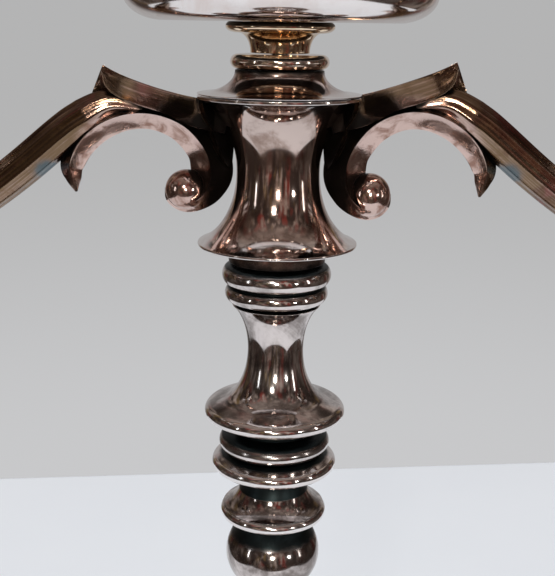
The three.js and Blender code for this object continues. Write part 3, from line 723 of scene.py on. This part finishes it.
def green_felt():
    """Pressed felt: matted fibres in two sizes, darker where it is rubbed."""
    material, w, shader = new_material("green_felt")
    place_in = w.node("TexCoord").outputs["Object"]
    mat = w.noise(place_in, 450.0, 6.0, 0.7, 1.5)
    fibre = w.noise(w.stretched(place_in, (2500.0, 900.0, 900.0)), 1.0, 3.0, 0.6, 2.0)
    rubbed = w.ramp(w.noise(place_in, 30.0, 3.0), 0.4, 0.65)
    green = w.mix(mat, rgb(0.02, 0.06, 0.035), rgb(0.05, 0.12, 0.07))
    w.plug(shader["Base Color"], w.mix(w.math("MULTIPLY", rubbed, 0.5), green, rgb(0.02, 0.035, 0.025)))
    w.plug(shader["Roughness"], w.ramp(fibre, 0.2, 0.8, 0.85, 1.0))
    shader["Sheen Weight"].default_value = 0.4
    bump = w.node("Bump")
    bump.inputs["Distance"].default_value = 0.0004
    w.plug(bump.inputs["Height"], w.math("ADD", mat, fibre))
    w.plug(shader["Normal"], bump.outputs["Normal"])
    return material


steel = turned_steel()
pitch = dark_pitch()
felt = green_felt()


# ---- turned pieces, bottom to top ----

TIE_BORE = 3.3
STUD_BORE = 2.3
SPIGOT_BORE = 4.3


def border_outline():
    """A rolled rim, a cove and a bead, on a plain inside that clears the plate."""
    rim_z = 2.4
    return outline(
        (66.4, 0),
        arc(67.6, rim_z, 2.4, 2.4, -90, 90),
        arc(66.6, 12.0, 10.1, 6.6, 268, 184),
        arc(54.5, 12.0, 2.0, 2.0, 20, 80),
        (54.8, 13.6), (54.8, 2.8), (66.4, 2.8),
    )


def trumpet(inwards, low, high):
    """The foot's flank, moved inwards: a quarter of an ellipse, from near its foot to near its top."""
    drop = place("foot_shell")[2]
    return arc(54.5, 96.0 - drop, 43.0 + inwards, 81.0 + inwards, low, high, 3.0)


def shell_outline():
    """A spun trumpet, 1.2 mm thick, with one turned line near its top."""
    top = place("foot_shell")[3] - place("foot_shell")[2]
    line_z = top - 13.5
    return outline(
        (54.5, 1.1), trumpet(0, 268.5, 191),
        arc(12.7, line_z, 1.3, 1.2, -70, 80, 12), trumpet(0, 187.5, 181),
        (TIE_BORE, top), (TIE_BORE, top - 2.4), trumpet(1.2, 184, 268), (54.5, 0),
    )


def baluster_outline():
    """An inverted pear, drawn smooth through a few radii, between two fillets."""
    pear = smooth(
        [(8.4, 2.2), (7.5, 6), (7.3, 12), (7.9, 23), (9.6, 34.5), (12.6, 46), (15.8, 56), (17.0, 64),
         (15.7, 71.5), (12.0, 77.8), (8.8, 81.2)], 60
    )
    top = [(8.6, 82.0), (7.2, 83.2), (7.2, 84.0), (8.2, 84.6), (8.2, 85.7)]
    return bored(outline((9.5, 0), (9.5, 1.2), pear, top), TIE_BORE)


def ball_outline():
    """A flattened ball between a short upper neck and a longer lower one."""
    centre, half, radius, upper, lower = 19.7, 12.4, 13.6, 8.5, 6.5
    start = -math.degrees(math.acos(lower / radius))
    stop = math.degrees(math.acos(upper / radius))
    ball = arc(0, centre, radius, half, start, stop, 4)
    foot = outline((8.5, 0), (8.5, 0.9), arc(9.0, 3.4, 2.5, 2.5, 250, 180))
    return bored(outline(foot, ball, arc(9.5, 30.0, 1.0, 1.2, 200, 90, 15), (9.5, 31.2)), TIE_BORE)


def cone_outline():
    """A hollow-sided cone on a round edge."""
    edge = arc(13.6, 1.7, 1.5, 1.7, -80, 70)
    side = arc(16.4, 13.4, 7.6, 10.2, 256, 180, 4)
    return bored(outline((9.5, 0), (12.6, 0.05), edge, side, (8.8, 14.8)), TIE_BORE)


def spool_outline():
    """A lipped disc on a dark neck, then a trumpet and a counter-trumpet that meet at the waist."""
    return outline(
        (TIE_BORE, 0), (10.6, 0), (11.2, 0.4), (11.2, 3.4), (12.5, 4.0),
        arc(16.4, 6.4, 3.3, 2.4, -72, 62, 5),
        arc(16.2, 24.4, 8.5, 15.0, 262, 180, 4),
        arc(16.2, 24.4, 8.5, 14.5, 178, 118, 4),
        (10.2, 37.5), (5.8, 37.5), (5.8, 15.5), (TIE_BORE, 15.5),
    )


def collar_outline():
    """Two rings with a groove between them, over the sleeve that stands in the stem."""
    drop = 21.7
    return bored(
        outline((5.5, 0), (5.5, drop), (10.4, drop), arc(12.0, drop + 2.7, 2.1, 2.3, -80, 72, 8),
                arc(12.6, drop + 7.9, 2.3, 2.75, -74, 80, 8), (12.8, drop + 10.7)), SPIGOT_BORE
    )


def hub_outline():
    """Two thin rims, with the part of an ellipse between them that meets both rims at a slope."""
    depth = HUB_COVE + HUB_FLARE
    meets = math.acos(HUB_FLARE / depth)
    height = (HALF_HUB - HUB_RIM) / math.sin(meets)
    degrees = math.degrees(meets)
    waist = arc(hub_radius + HUB_FLARE, HALF_HUB, depth, height, 180 + degrees, 180 - degrees, 4)
    foot = [(hub_radius - 0.6, 0), (hub_radius, 0.25)]
    return bored(outline(foot, waist, (hub_radius, 2 * HALF_HUB)), STUD_BORE)


def cap_outline():
    """A cove that sweeps from the hub's rim up to a short neck."""
    neck = 11.6
    cove = arc(hub_radius, 6.2, hub_radius - neck, 5.95, 268, 184, 4)
    return bored(outline((hub_radius, 0), (hub_radius, 0.25), cove, (neck, 6.2)), STUD_BORE)


def neck_outline():
    """A waisted neck that flares under a round-edged flange."""
    return bored(
        outline(arc(10.8, 0, 3.1, 5.0, 180, 98, 5), arc(11.2, 6.6, 2.9, 1.6, -90, 90, 8)), STUD_BORE
    )


def pan_outline():
    """A shallow pan: nearly flat, an elliptical corner, and a flared side with a rolled edge."""
    wall, sag = 1.3, 0.7
    return outline(
        (STUD_BORE, sag), (15.1, sag), (22.0, 0.25),
        arc(30.0, 6.0 + sag, 10.0, 6.0 + sag, 270, 352, 5),
        (41.0, 9.0 + sag), arc(41.7, 11.7 + sag - 0.8, 0.8, 0.8, -60, 200, 20),
        (39.6, 8.6 + sag),
        arc(30.0, 6.0 + sag, 10.0 - wall, 6.0 + sag - wall, 355, 270, 6),
        (22.0, 0.25 + wall), (15.1, sag + wall), (STUD_BORE, sag + wall),
    )


def cup_outline():
    """A vase on a round foot: waist, belly, plain wall with two turned lines, and a thick lip."""
    return outline(
        (0, 5), (STUD_BORE, 5), (STUD_BORE, 0), (8.4, 0), arc(8.4, 0.7, 0.7, 0.7, -80, 80, 20),
        arc(8.9, 3.6, 2.1, 2.0, 262, 140, 10),
        arc(7.0, 14.0, 6.6, 8.2, -76, 12, 5),
        (13.4, 17.5), (13.1, 17.8), (13.1, 18.2), (13.3, 18.5), (13.0, 24.6),
        arc(13.4, 28.0, 1.0, 1.8, -75, 70, 12), (12.6, 30.0), (11.8, 30.0), (11.8, 11.0), (0, 11.0),
    )


def nozzle_outline():
    """A thin sleeve with a floor, under a dished flange with a rolled edge."""
    return outline(
        (0, 0), (11.5, 0), (11.5, 18.7), (15.2, 18.75), (17.9, 20.6),
        arc(17.9, 21.1, 0.55, 0.55, -70, 200, 20),
        (15.0, 19.6), (10.6, 19.6), (10.6, 0.9), (0, 0.9),
    )


def ferrule_outline():
    """A small spreading socket between a branch's end and its light."""
    flare = arc(9.8, 5.2, 4.4, 4.2, 262, 190, 8)
    return bored(outline((5.4, 0), (5.4, 0.8), flare, (10.3, 4.9), (10.3, 5.2)), STUD_BORE)


def spigot_outline():
    """A stout pin with a thin threaded end above its shoulder."""
    shoulder = hub_bottom - 0.3 - place("branch_spigot")[2]
    top = place("branch_spigot")[3] - place("branch_spigot")[2]
    return outline((0, 0), (3.5, 0), (4.0, 0.6), (4.0, shoulder), (2.0, shoulder), (2.0, top), (0, top))


turn("base_felt", [(0, 0), (65.6, 0), (66.1, 0.5), (66.1, 1.6), (65.7, 2.0), (0, 2.0)], STICK, felt)
turn("foot_border", border_outline(), STICK, stem_silver, edge=0.15)
turn("foot_shell", shell_outline(), STICK, stem_silver, edge=0.15)
turn("foot_ring", bored(bead(10.5, 5.0, 13.0), TIE_BORE), STICK, stem_silver)
turn("baluster", baluster_outline(), STICK, stem_silver)
turn("baluster_ring", bored(bead(10.5, 6.7, 12.8), TIE_BORE), STICK, stem_silver)
turn("ball_knop", ball_outline(), STICK, stem_silver)
turn("cone_knop", cone_outline(), STICK, stem_silver)
flange_ring = outline((9.8, 0), (14.8, 0.1), arc(16.1, 1.9, 1.5, 1.8, -75, 82, 8), (13.8, 5.2))
turn("flange_ring", bored(flange_ring, TIE_BORE), STICK, stem_silver)
turn("bead_ring", bored(bead(12.8, 5.2, 15.6), TIE_BORE), STICK, stem_silver)
turn("stem_spool", spool_outline(), STICK, stem_silver)
turn("collar", collar_outline(), COLLAR, stem_silver, nodes=["socket_collar"])
turn("spigot", spigot_outline(), BRANCHES, steel, 48, nodes=["branch_spigot"])
hub_foot = outline((12.4, 0), (13.1, 0.6), (13.1, 4.7))
turn("hub_foot_ring", bored(hub_foot, SPIGOT_BORE), BRANCHES, turned_silver)
hub_piece = turn("hub", hub_outline(), BRANCHES, turned_silver)
cap_piece = turn("hub_cap", cap_outline(), BRANCHES, turned_silver)
for side in ("centre", "left", "right"):
    turn(f"{side}_ring", bored(bead(11.0, 3.7, 12.9), STUD_BORE), BRANCHES, worn_gilt, FINE_SIDES)
    turn(f"{side}_neck", neck_outline(), BRANCHES, worn_gilt, FINE_SIDES)
    turn(f"{side}_pan", pan_outline(), BRANCHES, turned_silver, edge=0.1, open_above=1.5)
    turn(f"{side}_cup", cup_outline(), BRANCHES, turned_silver, FINE_SIDES, edge=0.15)
    nozzle = f"{side}_nozzle"
    turn(nozzle, nozzle_outline(), nozzle, turned_silver, FINE_SIDES, edge=0.12, open_above=0)
for side in ("left", "right"):
    turn(f"{side}_ferrule", ferrule_outline(), BRANCHES, turned_silver, FINE_SIDES)
write_shelters()
add_branches(cast_silver, [hub_piece, cap_piece])

for node, material in (
    ("base_plate", steel), ("foot_loading", pitch), ("tie_nut", steel), ("tie_washer", steel),
    ("tie_rod", steel), ("left_stud", steel), ("right_stud", steel),
):
    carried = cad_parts[node]
    carried.data.materials.clear()
    carried.data.materials.append(material)


# ---- table, room and lights ----


def table():
    """A pale table top with softly rounded edges, resting 0.2 mm under the felt."""
    half_wide, near, far_left, far_right, thick = 0.48, -0.42, 0.46, 0.56, 0.02
    plan = [(-half_wide, near), (half_wide, near), (-half_wide, far_left), (half_wide, far_right)]
    top = np.column_stack([plan, np.full(4, -0.0002)])
    corners = np.vstack([top, top - (0, 0, thick)])
    faces = [(0, 1, 3, 2), (4, 6, 7, 5), (0, 4, 5, 1), (1, 5, 7, 3), (3, 7, 6, 2), (2, 6, 4, 0)]
    mesh = bpy.data.meshes.new("table")
    mesh.from_pydata(corners.tolist(), [], faces)
    piece = add_object("table", mesh)
    bevel = piece.modifiers.new("edges", "BEVEL")
    bevel.width = 0.006
    bevel.segments = 3
    material, w, shader = new_material("table_top")
    cloud = w.noise(w.node("TexCoord").outputs["Object"], 5.0, 3.0)
    w.plug(shader["Base Color"], w.mix(cloud, rgb(0.79, 0.82, 0.865), rgb(0.85, 0.875, 0.91)))
    shader["Roughness"].default_value = 0.6
    mesh.materials.append(material)


def room():
    """The surroundings. Seen directly they are a plain grey wall; seen in the metal they are a dark warm
    room in front, with upright shapes in it, and the pale wall behind; they light evenly and softly."""
    world = bpy.data.worlds.new("room")
    bpy.context.scene.world = world
    world.use_nodes = True
    w = Wiring(world.node_tree)
    background = world.node_tree.nodes["Background"]
    direction = w.node("TexCoord").outputs["Generated"]
    split = w.node("SeparateXYZ")
    w.plug(split.inputs[0], direction)
    x, y, z = (split.outputs[i] for i in range(3))
    wall = w.mix(w.ramp(z, -0.42, -0.08), rgb(0.578, 0.58, 0.59), rgb(0.456, 0.456, 0.458))
    shapes = w.noise(w.stretched(direction, (6.0, 6.0, 1.3)), 1.0, 4.0, 0.55, 0.3)
    hue = w.noise(w.stretched(direction, (2.8, 2.8, 1.4)), 1.0, 2.0)
    dark = w.mix(w.ramp(hue, 0.54, 0.62), rgb(0.05, 0.036, 0.03), rgb(0.2, 0.045, 0.036))
    dark = w.mix(w.ramp(hue, 0.44, 0.36), dark, rgb(0.19, 0.13, 0.06))
    front = w.mix(w.ramp(shapes, 0.48, 0.64), dark, rgb(0.42, 0.35, 0.31))
    front = w.mix(w.ramp(z, -0.1, -0.4, 0.0, 0.6), front, rgb(0.06, 0.045, 0.038))
    front = w.mix(w.ramp(w.math("ABSOLUTE", x), 0.6, 0.88, 0.0, 0.75), front, rgb(0.03, 0.022, 0.018))
    behind = w.ramp(y, 0.76, 0.9)
    seen = w.mix(behind, front, rgb(0.4, 0.39, 0.39))
    seen = w.mix(w.ramp(z, 0.55, 0.9), seen, w.mix(shapes, rgb(0.11, 0.088, 0.076), rgb(0.4, 0.335, 0.3)))
    path = w.node("LightPath")
    even = w.mix(path.outputs["Is Glossy Ray"], rgb(0.45, 0.45, 0.46), seen)
    w.plug(background.inputs["Color"], w.mix(path.outputs["Is Camera Ray"], even, wall))


def soft_light(name, at, size, power, color=(1, 1, 1), tall=None, aim=(0, 0, 0.25), mirrored=True):
    """A soft light, square unless tall is given, that points at aim; mirrored ones show in the metal."""
    data = bpy.data.lights.new(name, "AREA")
    data.shape = "RECTANGLE"
    data.size = size
    data.size_y = tall or size
    data.energy = power
    data.color = color
    light = bpy.data.objects.new(name, data)
    bpy.context.scene.collection.objects.link(light)
    way = Vector(aim) - Vector(at)
    light.matrix_world = Matrix.Translation(at) @ way.to_track_quat("-Z", "Y").to_matrix().to_4x4()
    light.visible_camera = False
    light.visible_glossy = mirrored


table()
room()
soft_light("overhead", (0.0, -0.1, 1.7), 1.6, 16.0, mirrored=False)
soft_light("lamp_behind", (0.05, -2.6, 0.72), 0.3, 10.0, (1.0, 0.93, 0.84))
soft_light("lamp_high", (-0.35, -2.2, 1.4), 0.28, 8.0, (1.0, 0.95, 0.9))
soft_light("lamp_right", (1.7, -1.9, 0.6), 0.2, 5.0, (1.0, 0.96, 0.92))
soft_light("strip_left", (-1.9, -1.1, 0.6), 0.07, 1.2, (0.92, 0.96, 1.0), tall=0.8)
soft_light("strip_right", (1.9, -0.7, 0.6), 0.1, 1.5, (1.0, 0.97, 0.94), tall=0.9)
